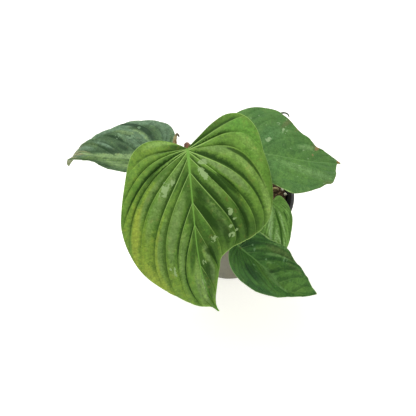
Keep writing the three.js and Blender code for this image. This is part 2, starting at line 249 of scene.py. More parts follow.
# Lengths here and below are in millimetres, apart from the sizes inside materials
pot = {
    "height": 95.0, "rimRadius": 55.0, "footRadius": 39.3, "wall": 1.6, "band": 7.0, "bandProud": 1.1,
    "floorThickness": 2.2, "floorRaised": 0.6, "floorRing": 20, "sides": 180, "ribs": 60, "ribDepth": 0.14,
    "drains": 6, "drainRadius": 4.0, "drainPlace": 0.72, "drainSides": 28,
    "outside": "#62604c", "outsideDusty": "#706c58", "inside": "#1b2020", "rim": "#4d4c52",
    "footShadow": "#352a26", "rimToneFrom": 93.5, "rimToneTo": 94.8, "footToneFrom": 0.6, "footToneTo": 2.2,
}
wallSlope = (pot["rimRadius"] - pot["bandProud"] - pot["footRadius"]) / pot["height"]


def makePotPlastic():
    material, tree, bsdf = startFinish("potPlastic", 0.5, 0.4)
    where = onObject(tree)
    cloud = speckle(tree, where, 60, 4)
    streak = speckle(tree, where, 900, 2, stretch=(1, 1, 0.05))
    height = put(tree, "ShaderNodeSeparateXYZ", {"Vector": where}).outputs["Z"]
    color = paint(
        tree, pot["outside"], (step(tree, cloud, 0.35, 0.7), pot["outsideDusty"]),
        (step(tree, streak, 0.45, 0.75, 0, 0.25), pot["inside"]),
        # painted shade: the inner surface of the pot is painted near-black
        (readAttribute(tree, "inside"), pot["inside"]),
        (step(tree, height, pot["rimToneFrom"] * mm, pot["rimToneTo"] * mm, 0, 0.8), pot["rim"]),
        # painted shadow: the lowest two millimetres darken to dark brown towards the floor
        (step(tree, height, pot["footToneFrom"] * mm, pot["footToneTo"] * mm, 1, 0), pot["footShadow"]))
    link(tree, bsdf.inputs["Roughness"], step(tree, cloud, 0.3, 0.7, 0.42, 0.6))
    endFinish(tree, bsdf, color, speckle(tree, where, 1400, 3), 0.12, 0.0002)
    return material


def potProfile():
    # radius, height, how much it belongs to the inside, how deep the ribs are there
    foot, proud, top, rim = (pot[k] for k in ("footRadius", "bandProud", "height", "rimRadius"))
    raised, floorTop, bandLow = pot["floorRaised"], pot["floorThickness"], top - pot["band"]
    wall = lambda z: foot + wallSlope * z
    inner = lambda z: wall(z) - pot["wall"]
    underside = [(pot["floorRing"], raised, 0, 0), (foot - 5, raised, 0, 0), (foot - 4, 0, 0, 0),
                 (foot - 1.4, 0, 0, 0), (foot - 0.3, 0.5, 0, 0), (wall(1.6) - 0.1, 1.6, 0, 0),
                 (wall(4), 4, 0, 0.4)]
    ribbed = [(wall(z), z, 0, 1) for z in (12, 30, 50, 70, bandLow - 3)]
    bandAndRim = [
        (wall(bandLow - 0.6), bandLow - 0.6, 0, 0), (wall(bandLow) + 0.3, bandLow - 0.1, 0, 0),
        (wall(bandLow) + proud - 0.1, bandLow + 0.2, 0, 0), (wall(bandLow) + proud, bandLow + 0.9, 0, 0),
        (rim - 0.25, top - 1.8, 0, 0), (rim, top - 0.9, 0.1, 0), (rim - 0.2, top - 0.25, 0.3, 0),
        (rim - 0.8, top, 0.6, 0), (rim - proud - 0.7, top, 0.8, 0), (rim - proud - 1.3, top - 0.3, 1, 0)]
    within = [(inner(z), z, 1, 0) for z in (top - 1.4, 80, 60, 30, 6)]
    within += [(inner(3) - 1.2, 3, 1, 0), (inner(floorTop) - 3, floorTop, 1, 0),
               (pot["floorRing"], floorTop, 1, 0)]
    return underside + ribbed + bandAndRim + within


def makePot():
    sides, profile = pot["sides"], potProfile()
    points, inside = [(0, 0, pot["floorRaised"])], [0]
    for radius, z, within, ribbed in profile:
        deep = ribbed * pot["ribDepth"]
        points += circlePoints(lambda turn: radius + deep * math.cos(pot["ribs"] * turn), z, sides)
        inside += [within] * sides
    points.append((0, 0, pot["floorThickness"]))
    inside.append(1)
    faces = [face[:1] + face[:0:-1] for face in turnedFaces(len(profile), sides)]  # starts below
    made = buildMesh("pot", points, faces, makePotPlastic(), {"inside": inside})
    cutters = []
    for i in range(pot["drains"]):
        turn = 2 * math.pi * (i + 0.5) / pot["drains"]
        reach = pot["footRadius"] * pot["drainPlace"] * mm
        place = (reach * math.cos(turn), reach * math.sin(turn), 0)
        bpy.ops.mesh.primitive_cylinder_add(vertices=pot["drainSides"], radius=pot["drainRadius"] * mm,
                                            depth=20 * mm, location=place)
        cutters.append(bpy.context.object)
        drill = made.modifiers.new("drain", "BOOLEAN")
        drill.operation = "DIFFERENCE"
        drill.object = cutters[-1]
    bpy.context.view_layer.update()
    made.data = bpy.data.meshes.new_from_object(made.evaluated_get(bpy.context.evaluated_depsgraph_get()))
    made.modifiers.clear()
    for cutter in cutters:
        bpy.data.objects.remove(cutter)
    return made


finishPiece(makePot(), "pot", "pot_plastic")
print("pot ready")


def openTree(name, sockets):
    tree = bpy.data.node_groups.new(name, "GeometryNodeTree")
    for way in ("OUTPUT", "INPUT"):
        tree.interface.new_socket(name="Geometry", in_out=way, socket_type="NodeSocketGeometry")
    for label, kind, value in sockets:
        made = tree.interface.new_socket(name=label, in_out="INPUT", socket_type="NodeSocket" + kind)
        if value is not None:
            made.default_value = value
    return tree, tree.nodes.new("NodeGroupInput").outputs, tree.nodes.new("NodeGroupOutput").inputs[0]


def runTree(tree, start, name, values):
    modifier = start.modifiers.new("grow", "NODES")
    modifier.node_group = tree
    for item in tree.interface.items_tree:
        if item.in_out == "INPUT" and item.name in values:
            modifier[item.identifier] = values[item.name]
    bpy.context.view_layer.update()
    grown = start.evaluated_get(bpy.context.evaluated_depsgraph_get())
    mesh = bpy.data.meshes.new_from_object(grown)
    mesh.name = name
    bpy.data.objects.remove(start)
    return placeObject(name, mesh)


mix = {
    "level": 84.0, "reach": 50.2, "low": 3.0, "middle": 40.0, "circles": 26, "turns": 96,
    "crown": 0.5, "lumpHeight": 1.6, "broadLumps": 0.12, "smallLumps": 0.35, "smallShare": 0.5,
    "edgeFrom": 0.9, "edgeFall": 1.2,  # how far it falls over the last tenth of its reach
    "clearance": 0.4, "grainClearance": 0.2,
    "bark": "#56422f", "barkPale": "#8c7356", "barkRed": "#6b4232", "soil": "#382b1e",
    "perlite": "#e9e4cf", "perlitePits": "#b9b198", "seed": 40, "steepest": 0.6, "boxiness": 0.6,
    # half length, width and height, jaggedness and seed of each grain, then how many lie on a square
    # metre, the smallest and the largest copy, and how far they tumble
    "grains": {
        "barkChips": ((3.6, 1.7, 0.9), 0.5, 5, 42000.0, 0.45, 1.15, 0.5),
        "crumbs": ((1.1, 0.8, 0.6), 0.6, 8, 190000.0, 0.4, 1.2, 1.5),
        "perlite": ((1.0, 0.85, 0.8), 0.45, 12, 8000.0, 0.6, 1.25, 1.5),
    },
    # grains that show clearly beside the rim: x, y, z, size
    "shownGrains": [(49.0, 2.2, 86.2, 1.6), (46.6, 6.9, 87.6, 1.3)],
    "shownJag": 0.3, "shownSlim": 0.8, "shownTurn": 0.6,
}


def makeBark(name, dark, pale, red):
    material, tree, bsdf = startFinish(name, 0.85, 0.25)
    where = onObject(tree)
    grain = speckle(tree, where, 260, 5, 0.65)
    patch = speckle(tree, where, 90, 2)
    color = paint(tree, dark, (step(tree, grain, 0.35, 0.68), pale),
                  (step(tree, patch, 0.5, 0.62, 0, 0.6), red))
    endFinish(tree, bsdf, color, speckle(tree, where, 900, 4, 0.7), 0.6, 0.0006)
    return material


def makePerliteSkin():
    material, tree, bsdf = startFinish("perliteSkin", 0.8, 0.3)
    pits = flow(tree, "ShaderNodeTexVoronoi", {"Vector": onObject(tree), "Scale": 1500.0})
    color = paint(tree, mix["perlitePits"], (step(tree, pits, 0.1, 0.5), mix["perlite"]))
    endFinish(tree, bsdf, color, pits, 0.5, 0.0004)
    return material


def makeScatterTree():
    # lays copies of a grain at random over the top of what comes in
    tree, given, result = openTree("scatter", [
        ("Grain", "Object", None), ("Density", "Float", 1000.0), ("Lowest", "Float", 0.5),
        ("Largest", "Float", 1.0), ("Tumble", "Float", 0.6), ("Seed", "Int", 1), ("Skin", "Material", None)])
    normal = put(tree, "ShaderNodeSeparateXYZ", {"Vector": flow(tree, "GeometryNodeInputNormal")})
    upward = calc(tree, "GREATER_THAN", normal.outputs["Z"], mix["steepest"])
    spread = put(tree, "GeometryNodeDistributePointsOnFaces", {
        "Mesh": given["Geometry"], "Selection": upward, "Density": given["Density"], "Seed": given["Seed"]})
    grain = put(tree, "GeometryNodeObjectInfo", {"Object": given["Grain"], "As Instance": True})
    down = times(tree, given["Tumble"], -1.0)
    spin = flow(tree, "FunctionNodeRandomValue", {
        0: combine(tree, down, down, -3.14), 1: combine(tree, given["Tumble"], given["Tumble"], 3.14),
        "Seed": given["Seed"]}, data_type="FLOAT_VECTOR")
    grow = put(tree, "FunctionNodeRandomValue", {2: given["Lowest"], 3: given["Largest"],
                                                 "Seed": given["Seed"]}, data_type="FLOAT")
    laid = flow(tree, "GeometryNodeInstanceOnPoints", {
        "Points": spread.outputs["Points"], "Instance": grain.outputs["Geometry"], "Rotation": spin,
        "Scale": grow.outputs[1]})
    laid = flow(tree, "GeometryNodeRealizeInstances", {"Geometry": laid})
    skinned = flow(tree, "GeometryNodeSetMaterial", {"Geometry": laid, "Material": given["Skin"]})
    tree.links.new(skinned, result)
    return tree


def makeGrain(name, size, jag, seed, subdivisions=1):
    # a jagged lump, somewhat boxy
    bpy.ops.mesh.primitive_ico_sphere_add(subdivisions=subdivisions, radius=1)
    made = bpy.context.object
    made.name = name
    draw = random.Random(seed)
    for v in made.data.vertices:
        boxy = Vector([math.copysign(abs(c) ** mix["boxiness"], c) for c in v.co])
        v.co = [boxy[k] * size[k] * mm * (1 + jag * (draw.random() - 0.5)) for k in range(3)]
    return made


def makeGround(skin):
    points = [(0, 0, mix["level"] + mix["crown"])]
    turns, circles = mix["turns"], mix["circles"]
    for i in range(1, circles + 1):
        drop = mix["edgeFall"] * max(0, i / circles - mix["edgeFrom"]) * 10
        for x, y, z in circlePoints(mix["reach"] * i / circles, mix["level"], turns):
            lump = noise.noise(Vector((x, y, 3.0)) * mix["broadLumps"])
            lump += mix["smallShare"] * noise.noise(Vector((x, y, 9.0)) * mix["smallLumps"])
            points.append((x, y, z + mix["lumpHeight"] * lump - drop))
    for z in (mix["middle"], mix["low"]):
        points += circlePoints(mix["reach"] - wallSlope * (mix["level"] - z) - mix["clearance"], z, turns)
    points.append((0, 0, mix["low"]))
    return buildMesh("ground", points, turnedFaces(circles + 2, turns), skin)


def joinPieces(name, pieces):
    bpy.ops.object.select_all(action="DESELECT")
    for piece in pieces:
        piece.select_set(True)
    bpy.context.view_layer.objects.active = pieces[0]
    bpy.ops.object.join()
    pieces[0].name = name
    pieces[0].data.name = name
    return pieces[0]


def clearWall(piece):
    # grains that would pass through the pot are pulled in
    for v in piece.data.vertices:
        inner = pot["footRadius"] + wallSlope * v.co.z / mm - pot["wall"]
        limit = (inner - mix["grainClearance"]) * mm
        far = math.hypot(v.co.x, v.co.y)
        if far > limit:
            v.co.x *= limit / far
            v.co.y *= limit / far


def makeMix():
    scatter = makeScatterTree()
    soilSkin = makeBark("darkSoil", mix["soil"], mix["bark"], mix["soil"])
    barkSkin = makeBark("barkSkin", mix["bark"], mix["barkPale"], mix["barkRed"])
    perliteSkin = makePerliteSkin()
    layers = [makeGround(soilSkin)]
    for name, (size, jag, seed, density, lowest, largest, tumble) in mix["grains"].items():
        grain = makeGrain(name + "Grain", size, jag, seed)
        layers.append(runTree(scatter, makeGround(soilSkin), name, {
            "Grain": grain, "Density": density, "Lowest": lowest, "Largest": largest, "Tumble": tumble,
            "Seed": mix["seed"] + len(layers), "Skin": perliteSkin if name == "perlite" else barkSkin}))
        bpy.data.objects.remove(grain)
    for x, y, z, size in mix["shownGrains"]:
        slim = size * mix["shownSlim"]
        shown = makeGrain("shown", (slim, size, slim), mix["shownJag"], int(x * 10), 2)
        turned = Matrix.Rotation(mix["shownTurn"], 4, "Z")
        shown.data.transform(Matrix.Translation(Vector((x, y, z)) * mm) @ turned)
        shown.data.materials.append(perliteSkin)
        layers.append(shown)
    return joinPieces("potting_mix_bark", layers[:3]), joinPieces("potting_mix_perlite", layers[3:])


for piece in makeMix():
    clearWall(piece)
    finishPiece(piece, "potting_mix", "bark_mix")
print("potting mix ready")


def makeStalkSkin(name, base, other, tip=None, tipFrom=0.9, roughness=0.6):
    material, tree, bsdf = startFinish(name, roughness, 0.35)
    where = onObject(tree)
    streak = speckle(tree, where, 500, 4, 0.6, stretch=(1, 1, 0.25))
    fleck = speckle(tree, where, 1500, 2)
    coats = [(step(tree, streak, 0.36, 0.66), other), (step(tree, fleck, 0.6, 0.7, 0, 0.5), other)]
    if tip:
        coats.append((step(tree, readAttribute(tree, "along"), tipFrom - 0.04, tipFrom + 0.03), tip))
    endFinish(tree, bsdf, paint(tree, base, *coats), plus(tree, streak, fleck), 0.45, 0.0005)
    return material


stem = {
    "foot": 70, "height": 34, "radius": 5.9, "rows": 70, "sides": 40,
    "firstRing": 72, "ringPitch": 9, "ringProud": 0.55, "ringSharpness": 0.4,
    "domeFrom": 97, "domeHeight": 7.2, "domeLeast": 0.02, "uneven": 0.25,
    "green": "#7d8a4a", "brown": "#54372a",
}


def makeStem():
    rows, sides = stem["rows"], stem["sides"]
    points, faces = [], []
    for i in range(rows):
        z = stem["foot"] + stem["height"] * i / (rows - 1)
        swell = abs(math.sin((z - stem["firstRing"]) * math.pi / stem["ringPitch"])) ** stem["ringSharpness"]
        dome = max(0, (z - stem["domeFrom"]) / stem["domeHeight"])
        taper = math.sqrt(max(stem["domeLeast"], 1 - dome ** 2))

        def radius(turn):
            lump = noise.noise(Vector((math.cos(turn) * 2, math.sin(turn) * 2, z * 0.3)))
            return (stem["radius"] + stem["ringProud"] * swell + stem["uneven"] * lump) * taper

        points += circlePoints(radius, z, sides)
    for i in range(rows - 1):
        for j in range(sides):
            k = (j + 1) % sides
            faces.append((i * sides + j, i * sides + k, (i + 1) * sides + k, (i + 1) * sides + j))
    faces.append(tuple(reversed(range(sides))))
    faces.append(tuple(range((rows - 1) * sides, rows * sides)))
    return buildMesh("stem", points, faces, makeStalkSkin("stemSkin", stem["green"], stem["brown"]))


finishPiece(makeStem(), "stem", "stem_skin")
print("stem ready")


# How the veins run, as one number for each: the notch, ten veins, the tip. A vein leaves the midrib
# at veinStart, sets out towards one place on the half margin and bends round to meet it at another,
# all as fractions. sag says how much of its rise it has made halfway.
veinStart = [0, .002, .004, .006, .009, .013, .042, .13, .295, .415, .65, 1]
usualVeins = dict(
    heading=[0, .12, .2, .27, .35, .45, .56, .66, .75, .82, .9, 1],
    landing=[0, .22, .34, .46, .57, .66, .735, .79, .84, .885, .94, 1],
    sag=[.5, .2, .1, .15, .3, .45, .6, .6, .55, .5, .5, .5])
frontVeins = dict(
    left=dict(heading=[0, .2, .2, .315, .45, .56, .6, .645, .745, .8, .9, 1],
              landing=[0, .225, .36, .545, .62, .65, .69, .735, .785, .84, .93, 1],
              sag=[.5, .5, .15, -.05, .6, .53, .6, .7, .6, .7, .5, .5]),
    right=dict(heading=[0, .2, .29, .35, .39, .445, .555, .665, .755, .8, .91, 1],
               landing=[0, .3, .4, .49, .57, .67, .765, .81, .87, .93, .965, 1],
               sag=[.5, 0, .1, .35, .4, .65, .7, .45, .4, .5, .5, .5]))
lastVein = len(veinStart) - 1

# base is where the petiole meets the blade, yaw, pitch and roll turn it, and the outline is in its own
# plane: x to its right, y towards the tip. fold, curl and the hollow shading have a value for the left
# and one for the right, and the hollow shading is how dark the painted shade in the hollow beside each
# vein is. marks has, for each kind, x, y, half width, half height, strength and turn. tints has the same
# along the veins: reach (left is negative), field (3.5 is halfway from the third vein to the fourth),
# half reach, half field, strength and turn. The kind shallow takes that painted shade away, and the
# shade and dusk kinds, like the colour deep, are painted shade.
leaves = {
    "front": dict(
        base=(-35.7, -24.3, 170), yaw=-76.9, pitch=43.7, roll=-2, length=116, arch=14, fold=(9, 9),
        curl=(.0035, .0035), pleat=1.9, across=48, perField=14, wave=.4,
        midrib=[(0, 0), (1.9, 18), (4.2, 42), (6, 68), (5.4, 90), (3, 104), (0, 115), (-3, 122.5)],
        left=[(-3.2, -2.8), (-11, -8.4), (-20.5, -15), (-33, -20.3), (-45, -18), (-52, -7), (-53, 10),
              (-54, 28), (-52, 46), (-46, 59), (-33, 67.5), (-19, 71.5), (-9.5, 78), (-7, 86), (-4, 98),
              (-1.6, 111), (-2, 118), (-3.6, 122.4)],
        right=[(3.6, -2.5), (10, -5.8), (19, -8.7), (29, -8.5), (38, -3), (43, 6), (48, 21), (52, 35),
               (54, 48), (51.5, 64), (45, 80), (36, 91), (26, 101), (17, 109), (9, 114.5), (3.5, 116),
               (.4, 118.5), (-2.4, 122.6)],
        veins=frontVeins,
        look=dict(mid="#5d882b", crown="#71983a", dusk="#3e641c", deep="#214402", pale="#86ab52",
                  vein="#7cb24a", edge="#a2c86a", under="#8da86f", silver="#9bb87a", lime="#83a035",
                  gold="#9cb040", bright="#5f9636", grey="#799854", band=.42, dark=.95, line=1, mottle=.3,
                  rust=.3, rib=1.15, gloss=.5),
        depth=[[.7, .9, .6, 1, .7, .8, 1, .9, 1, .6, .2], [.35, .3, 1, .6, .55, .7, 1, .8, 1, .6, .3]],
        marks={
            "lime": [(30, -3, 12, 5, .5, 10), (44, 47, 3.5, 17, .9, -4)],
            "bright": [(-41, -11, 5, 6, .8, 30)],
            "grey": [(7, 97, 3.4, 14, 1, 6)],
            "pale": [(6.5, 103, 2, 9, .6, 6)],
            "shade": [(-2, 72, 4, 2.6, .7, -50), (0, 86, 3, 8, .6, 6)],
            "silver": [
                (20.8, 25, 2.4, 4.2, 1, -24), (22.4, 28, 2.2, 2.2, .9), (14.7, 20.8, 1.3, 2.4, .9, -10),
                (-7.3, 19, 1.9, 4.6, 1, 20), (-8.5, 10.5, 3.4, 1.6, .8, -10), (-20.3, 46.8, 2, 2, 1, 20),
                (-22.7, 53.5, 1.7, 1.6, .55), (-19, 57, 1.3, 1.1, .8), (-19.1, 62.7, 2.2, 1.6, .75, 30),
                (-22.5, 60.4, 1.2, 1, .6, 30), (-6.2, 63.2, 2.4, 2, .85, 20), (23.9, 81.9, 1, 2.8, .7),
                (26.3, 79.8, .8, 1.8, .5), (3, 79, 1.3, 3.5, .5, 8), (5, 96, 1, 5, .5, 6)],
        },
        tints={
            "dusk": [
                (.25, 9.35, .25, .22, .9), (.75, 10.1, .3, .25, .6), (.55, 10.35, .6, .35, .7),
                (.3, .3, .3, .5, 1), (.3, 1.05, .3, .25, .8), (.18, 6.1, .14, .35, .8),
                (.1, 8, .08, 2.6, .8), (.1, 2, .08, 2, .6), (.3, 4.3, .3, .4, .6), (.62, 3.4, .16, .25, .8),
                (.3, 2.6, .3, .4, .6), (-.5, .4, .5, .6, .7), (-.6, 3.85, .2, .15, .3),
                (-.93, 6, .1, 1.6, .9), (-.98, 3.5, .06, 1.5, .5), (-.75, 6.15, .25, .35, 1),
                (-.55, 5.5, .3, .4, .8), (-.6, 6.5, .3, .5, .7), (-.45, 7.4, .5, .6, 1),
                (-.5, 8.5, .5, .5, .9), (-.4, 9.5, .5, .7, .9), (-.3, 10.2, .45, .5, 1),
                (-.85, 6.6, .2, .6, .8), (-.25, 7.85, .2, .2, .8), (-.1, 8.6, .08, 2.4, .7),
                (-.22, 1.15, .22, .35, 1.1), (-.12, 2.1, .1, 1, .6)],
            "lime": [
                (.7, .9, .25, .5, .4), (.75, 1.7, .2, .6, .3), (.85, 3.4, .2, .6, .45),
                (.62, 4.4, .15, .35, .6), (.9, 5.6, .25, 1.2, .7), (.93, 7.4, .2, 1.2, .5),
                (-.6, 2.3, .3, .4, .2), (-.7, 3.3, .2, .4, .3), (-.6, 5.25, .2, .2, .3)],
            "gold": [(.86, 4.42, .17, .33, .9), (.97, 5.8, .1, 1, .6), (.7, 6.15, .25, .2, .5)],
            "bright": [(-.8, 1.6, .25, .7, .7), (-.75, 2.6, .25, .5, .4), (-.3, 8.3, .2, .25, .4)],
            "grey": [
                (.35, 5.5, .3, .4, .6), (.45, 7.4, .35, .35, .7), (.6, 5.4, .2, .3, .5),
                (.55, 4.6, .25, .25, .6), (.55, 8.4, .3, .35, .6), (.7, 6.5, .25, .3, .5),
                (.3, 8.5, .25, .3, .3), (-.4, 3.3, .25, .3, .6), (-.65, 3.4, .2, .25, .5),
                (-.4, 4.35, .3, .35, .9), (-.3, 6.3, .15, .4, .4), (-.4, 7.3, .3, .16, .4),
                (-.62, 7.5, .15, .3, .4), (-.45, 9.25, .15, .2, .9), (-.7, 9.5, .14, .35, .8)],
            "pale": [
                (.78, .45, .14, .25, .9), (.25, 9.85, .22, .25, .8), (.33, 3.6, .1, .25, .7),
                (.6, 8.1, .35, .2, .4), (-.93, 3.4, .1, .4, .8), (-.62, 3.5, .2, .16, .6),
                (-.8, 2.3, .12, .3, .5), (-.35, 9.4, .14, .16, .6)],
            "shade": [
                (.35, 1.08, .3, .14, .5), (.42, 3.1, .2, .2, .8), (-.7, 3.2, .22, .12, .9),
                (-.46, 5.15, .15, .3, .9), (-.32, 5.7, .15, .35, .9), (-.35, 7.75, .3, .16, .8),
                (-.16, 7.4, .1, .3, .6), (-.3, 6.65, .14, .18, .6), (-.68, 8.86, .16, .2, 1),
                (-.8, 5.95, .18, .3, .7), (-.7, 7.5, .25, .2, .6), (-.5, 6.88, .2, .12, .5)],
            "shallow": [
                (.9, 4.8, .2, .5, .8), (.9, 5.8, .15, .4, .6), (.45, 9.75, .5, .35, .9),
                (.5, 6.75, .5, .3, .5), (.75, 5.75, .25, .3, .6), (.85, 7.75, .22, .3, .9),
                (-.88, 1.8, .25, .4, 1), (-.85, 2.8, .3, .4, 1), (-.92, 3, .14, .3, 1),
                (-.6, 3.6, .3, .14, .9), (-.7, 7.8, .2, .5, .6), (-.4, 4.7, .22, .3, 1),
                (-.35, 8.8, .25, .3, .8), (-.6, 9.7, .3, .3, .8), (-.25, 2.8, .14, .25, .8)],
        },
    ),
    "left": dict(
        base=(-59.5, -13.3, 147), yaw=168.4, pitch=6.3, roll=-8, length=73, arch=4, hook=4.8, fold=(20, 15),
        curl=(.001, .0015), pleat=1.1, across=34, perField=12, wave=.4,
        midrib=[(0, 0), (-3, 12), (-4.5, 30), (-3.5, 50), (-.2, 60), (1.3, 68), (-4, 77)],
        left=[(-3.5, -2.8), (-9, -6), (-18, -4), (-28, 8), (-31.5, 17), (-29, 27), (-22, 39), (-17, 48),
              (-17, 56), (-16.5, 64), (-12, 70.2), (-8.5, 74.5), (-4.4, 77)],
        right=[(3.6, -3.2), (10, -7), (20, -7.5), (29, -6), (36, 0), (37, 8), (36, 20), (33, 31), (27, 40),
               (22.5, 49), (15, 60), (11, 68.5), (9.2, 73), (4.8, 76.6), (-3.6, 77.2)],
        look=dict(mid="#47663f", crown="#55764c", dusk="#345233", deep="#20401f", pale="#8dab70",
                  vein="#7b9a62", edge="#7f9c72", under="#7f9870", silver="#7a9b74", lime="#76954c",
                  olive="#8b9066", grey="#6f8f70", band=.5, dark=.6, line=.15, mottle=.3, rust=.25,
                  fleck=.2, rib=.7, gloss=.46),
        depth=[[.5, .4, .4, .6, .4, .6, .4, .6, .4, .6, .3], [.3, .3, .3, 1, .2, .2, .9, .2, .9, .3, .3]],
        marks={
            "lime": [(-12, 43, 6, 14, .5), (-22, 22, 7, 16, .4)],
            "olive": [(-3, 72, 12, 7, 1)],
            "silver": [
                (14.6, 36.6, 3, 2.4, .6, 20), (14.8, 25.7, 2.2, 3, .65, 20), (19.2, 31, 1.6, 1.6, .5),
                (18, 17, 1.6, 2, .5), (26, 22, 1.2, 1.2, .45)],
        },
        tints={
            "dusk": [
                (.75, 4.45, .45, .4, 1, -56), (.6, 7.2, .4, .4, .6, -50), (.3, 9, .16, 1.4, .6),
                (.85, 9.6, .2, .6, .3), (.62, 2.5, .12, .6, .7), (.5, 8.15, .4, .2, 1),
                (.45, 6.3, .1, .3, .6), (.35, 8.4, .3, .35, 1), (.68, 2, .12, .6, .8),
                (.92, 6.4, .12, .3, 1)],
            "lime": [(-.6, 5, .4, 3, .5)],
            "olive": [(0, 10.6, 1.2, .55, 1.3), (-.92, 9, .14, .8, .8)],
            "grey": [
                (.45, 5.8, .25, 1.2, .5), (.6, 2.2, .4, 1, .6), (.95, 4, .1, 4, .8), (.5, 8.4, .25, .3, .8),
                (.8, 5.3, .2, .3, .6), (.7, 8, .2, .3, .5), (.6, 9.7, .3, .3, .8)],
            "pale": [
                (.6, 5.1, .2, .25, .6), (.75, 5.8, .12, .3, .7), (-.12, 7.5, .2, 3.5, 1),
                (.05, 8, .08, 2.5, .9), (-.75, 4.5, .1, 2, .5), (.75, 8.9, .2, .25, .6),
                (-.4, 7.5, .25, .8, .7)],
            "shade": [
                (.77, 4.4, .4, .2, 1.1, -56), (.5, 4.6, .1, .2, .6), (.66, 6.9, .3, .14, .8, -55),
                (.32, 7.5, .14, .25, .7), (.24, 8.8, .08, 1.2, .4), (-.38, 5, .1, 1.5, .5),
                (-.96, 4.5, .08, 2, .6), (.3, 8.5, .12, .2, .6)],
            "shallow": [(.7, 3.7, .4, .4, .8), (.7, 6.7, .4, .4, .7)],
        },
    ),
    "right": dict(
        base=(5.3, -9.8, 152), yaw=5.1, pitch=13.9, roll=-6, length=83.5, arch=4, fold=(12, 10),
        curl=(.002, .003), pleat=.6, across=36, perField=12, wave=.5,
        midrib=[(0, 0), (1.5, 18), (4, 36), (5, 52), (3.5, 66), (1, 79), (0, 83.5)],
        left=[(-2.6, -4), (-8, -9), (-16, -14), (-28, -11), (-38, 0), (-41.5, 13), (-40.5, 30), (-33, 38),
              (-22, 47.5), (-14, 57), (-9, 62.5), (-5, 73), (-1.5, 79.5), (-.4, 83.5)],
        right=[(3.5, -2.8), (9, -5.5), (16, -4), (22, 4), (28, 13), (34.5, 23), (38, 31), (36.5, 42),
               (32, 53), (27, 61), (25, 67), (17, 72.5), (5, 77.5), (1.7, 80), (.4, 83.5)],
        look=dict(mid="#4e7a3c", crown="#59843f", dusk="#44703a", deep="#335c25", pale="#7ba262",
                  vein="#7fa862", edge="#93b268", under="#86a56c", silver="#9dbb86", lime="#a5cf78",
                  gold="#b5653c", bright="#63913f", olive="#6a7446", grey="#5d8a55", scuff="#9a855a",
                  band=.3, dark=.1, line=.06, mottle=.16, rust=.1, fleck=.7, rib=.6, gloss=.46),
        marks={
            "lime": [(34.2, 21.5, 1.1, 12, 1, -22), (36, 40, 4, 10, .2)],
            "gold": [(0, 83, 3.4, 3, 1.3)],
            "bright": [(14, 36, 14, 20, .5)],
            "olive": [(-30, 40, 12, 2.4, .7, -48), (-11, 62, 8, 2, .8, -60), (26, 64, 4, 6, .5)],
            "scuff": [
                (-23, 46.5, 6, 1.2, .6, -50), (-8, 61.5, 1.4, 4.5, .75, 40), (-11, 60, 2, 1, .6),
                (-1, 56, 1.2, 1, .55), (-24, 33, 3, .7, .45, 20)],
            "silver": [
                (-10.5, 19.9, 1.8, 2.2, .7), (-26, 29.6, .9, 1.5, .7), (-26.7, 25.5, .8, 1, .5),
                (-7, 49.4, 3.6, .9, .4, -20), (-19.7, 33.8, 2.6, 2, .36), (11.7, 42.7, 1, 1, .4)],
        },
        tints={
            "dusk": [(-.85, 5, .15, 2, .3)],
            "grey": [(-.5, 6.2, .3, .8, .4), (.35, 6, .2, 1.2, .3)],
            "pale": [(.6, 7.5, .45, .9, .5), (-.7, 8.6, .2, .5, .6)],
        },
    ),
    "low_front": dict(
        base=(.1, -64.6, 108.5), yaw=-21.9, pitch=25.4, roll=8.5, length=77.1, arch=-5.2, rise=.65,
        fold=(33, 22), curl=(.002, .002), pleat=.7, across=34, perField=12, wave=.3,
        midrib=[(0, 0), (0, 10.7), (-.1, 20.4), (1.2, 30.3), (5.1, 39.2), (8.3, 46.8), (8.7, 54.2),
                (6.2, 64.2), (2.3, 73.2), (-.2, 77.1)],
        left=[(-2.8, -4), (-7.2, -8.8), (-13, -9.3), (-16.6, -.9), (-17.2, 11.2), (-17.6, 23.5),
              (-18.5, 32.4), (-16.4, 39.8), (-11.2, 48.2), (-7.6, 58.5), (-3.3, 67.9), (-1.4, 72.5),
              (-.6, 76.8)],
        right=[(3.1, -2.4), (8.1, -4.9), (17.8, -5.8), (26.3, -3.4), (32.3, 2.2), (34.6, 12), (32.3, 26.7),
               (25.1, 41.4), (15.2, 55.2), (6.9, 68.5), (2.8, 73.9), (.2, 77)],
        look=dict(mid="#3d6d2e", crown="#4b7c34", dusk="#245022", deep="#173a0d", pale="#74a058",
                  vein="#6f9f52", edge="#8fb868", under="#7f9f68", silver="#7ea873", lime="#5f8c3a",
                  gold="#a6cc78", olive="#6d8048", scuff="#5f5a35", band=.4, dark=.3, line=.25, mottle=.3,
                  rust=.1, fleck=.3, rib=.7, gloss=.46),
        marks={
            "scuff": [(0, 77, 1.6, 1.4, .8)],
            "silver": [
                (8, 20, 1, 3, .35, 20), (-6, 14, .8, 3, .3, -30), (14, 22, 1, 2, .3), (-9, 41, 1.6, 1, .5),
                (-5, 26, .8, 3, .3, -20)],
        },
        tints={
            "dusk": [
                (-.3, 4.5, .35, .8, 1), (.92, 3, .12, 2, .7), (-.28, 9.1, .2, .2, .6),
                (-.6, 7.7, .2, .2, .7), (.55, 5, .2, .6, 1), (.3, 2.4, .2, .6, .5), (-.97, 8, .06, 2, .5)],
            "lime": [
                (-.5, 9.2, .5, 1.6, .6), (-.4, 7.4, .3, .5, .4), (.6, 9, .5, 1.6, .4),
                (-.25, 7.6, .2, .3, .8), (-.25, 9.8, .3, .6, 1), (.8, 5.8, .15, .4, .6),
                (-.6, 5.7, .3, .3, .7), (.3, 9.5, .5, .9, 1.3), (.35, 6.8, .35, .5, .8),
                (.85, 2, .12, 1.2, .4)],
            "gold": [(-1, 2.2, .05, 1.6, 1.4)],
            "olive": [(-.82, 5.6, .2, 1, .55), (-.8, 7.6, .15, .8, .35)],
            "pale": [
                (-.92, 4.3, .12, .5, .6), (-.65, 6.3, .25, .22, .9), (.03, 8.3, .06, 1.6, 1.2),
